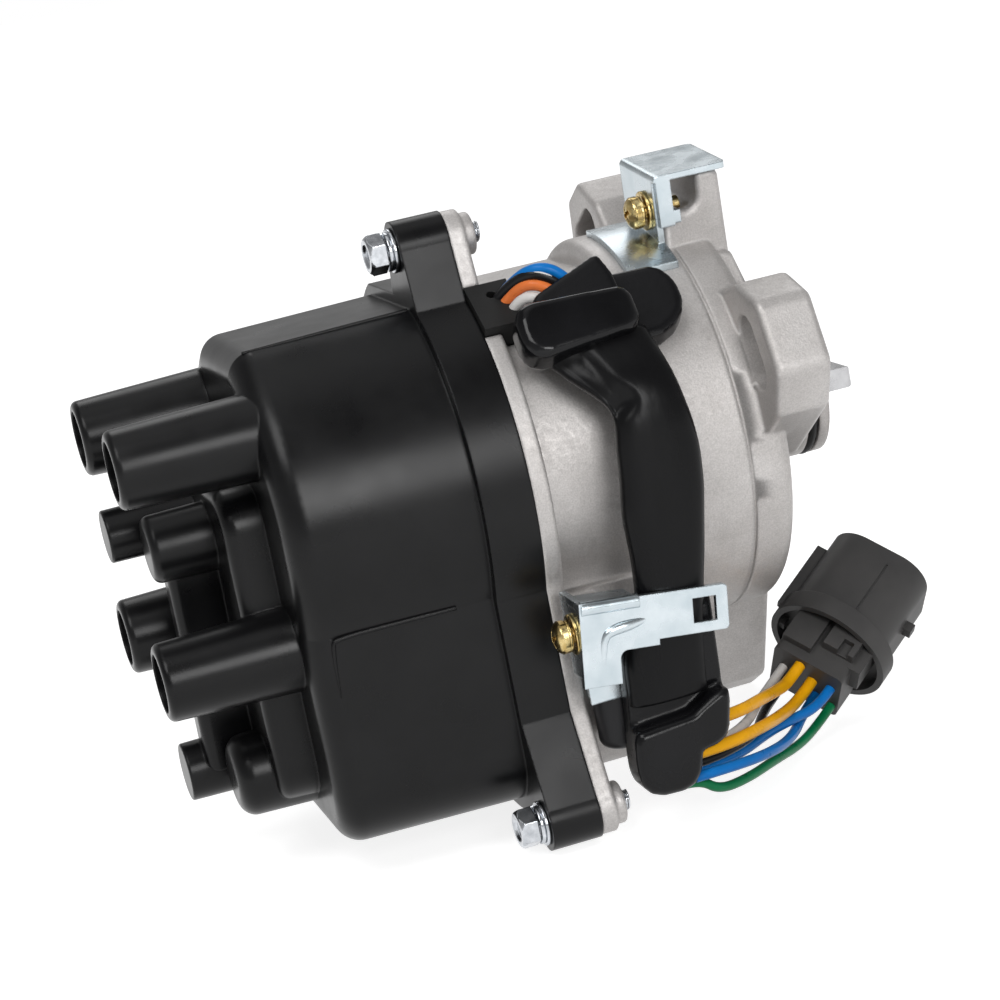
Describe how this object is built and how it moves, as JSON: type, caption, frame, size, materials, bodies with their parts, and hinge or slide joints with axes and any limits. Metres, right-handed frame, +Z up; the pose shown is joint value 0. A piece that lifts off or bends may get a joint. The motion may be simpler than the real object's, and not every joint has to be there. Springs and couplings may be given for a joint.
{
  "type": "ignition distributor",
  "caption": "Camshaft-driven ignition distributor with an inner coil, hollow spark-lead towers, slotted mounting ears, a pilot collar with an offset drive tang, and a short wire harness.",
  "frame": {"origin": "on the shaft's axis, in the plane of the mounting face where the pilot collar starts", "axes": "+X along the shaft towards the engine, +Z up, +Y away from the side that carries the harness"},
  "size_m": [0.1826, 0.1204, 0.1399],
  "materials": {
    "cap_plastic": "satin",
    "cast_aluminium": "cast",
    "zinc_steel": "satin",
    "gold_zinc_steel": "satin",
    "bright_steel": "satin",
    "sheet_steel": "satin",
    "brass": "satin",
    "black_rubber": "gloss",
    "seal_rubber": "matte",
    "black_plastic": "satin",
    "rotor_plastic": "satin",
    "connector_plastic": "satin",
    "carbon": "matte",
    "sleeve_plastic": "satin",
    "blue_insulation": "gloss",
    "yellow_insulation": "gloss",
    "white_insulation": "gloss",
    "black_insulation": "gloss",
    "green_insulation": "gloss",
    "orange_insulation": "gloss"
  },
  "bodies": {
    "housing_body": {"distributor_cap": "cap_plastic", "cap_seal": "seal_rubber", "cap_screws": "zinc_steel", "cap_spring_washers": "zinc_steel", "cap_flat_washers": "zinc_steel", "tower_terminals": "brass", "coil_lead_bar": "brass", "brush_spring": "bright_steel", "dust_shield": "rotor_plastic", "housing": "cast_aluminium", "bearing_outer_ring": "bright_steel", "oil_seal": "seal_rubber", "shaft_bush": "brass", "o_ring": "seal_rubber", "pickup_coils": "black_plastic", "sensor_plate": "sheet_steel", "ignition_coil": "black_plastic", "coil_core": "sheet_steel", "coil_terminal": "brass", "igniter_module": "black_plastic", "inner_screws": "zinc_steel", "lower_bracket": "sheet_steel", "upper_bracket": "sheet_steel", "bracket_screws": "gold_zinc_steel", "bracket_washers": "gold_zinc_steel", "condenser": "black_plastic", "condenser_strap": "sheet_steel", "wire_grommet": "seal_rubber", "upper_boot": "black_rubber", "harness_sleeve": "sleeve_plastic", "lower_boot": "black_rubber", "connector_body": "connector_plastic", "connector_terminals": "brass", "lead_blue": "blue_insulation", "lead_black": "black_insulation", "lead_orange": "orange_insulation", "lead_white": "white_insulation", "wire_yellow_a": "yellow_insulation", "wire_yellow_b": "yellow_insulation", "wire_white": "white_insulation", "wire_black": "black_insulation", "wire_blue_a": "blue_insulation", "wire_blue_b": "blue_insulation", "wire_green": "green_insulation"},
    "shaft_assembly": {"shaft": "bright_steel", "bearing_inner_ring": "bright_steel", "coupling": "bright_steel", "coupling_pin": "bright_steel", "coupling_spring": "bright_steel", "cylinder_reluctor": "sheet_steel", "tdc_reluctor": "sheet_steel", "crank_reluctor": "sheet_steel", "rotor_arm": "rotor_plastic", "rotor_blade": "brass", "rotor_screw": "zinc_steel"},
    "ball_set": {"bearing_balls": "bright_steel", "bearing_cage": "brass"},
    "brush": {"carbon_brush": "carbon"}
  },
  "joints": [
    {"name": "shaft_spin", "type": "hinge", "parent": "housing_body", "child": "shaft_assembly", "pos_m": [0, 0, 0], "axis": [1, 0, 0], "continuous": true},
    {"name": "ball_spin", "type": "hinge", "parent": "housing_body", "child": "ball_set", "pos_m": [-0.032, 0, 0], "axis": [1, 0, 0], "continuous": true},
    {"name": "brush_slide", "type": "slide", "parent": "housing_body", "child": "brush", "axis": [-1, 0, 0], "range_m": [0, 0.0015], "stiffness_N_per_m": 200, "springref_m": -0.002, "deforming": ["brush_spring"]}
  ],
  "couplings": [
    {"joint": "ball_spin", "follows": "shaft_spin", "ratio": 0.36667}
  ]
}
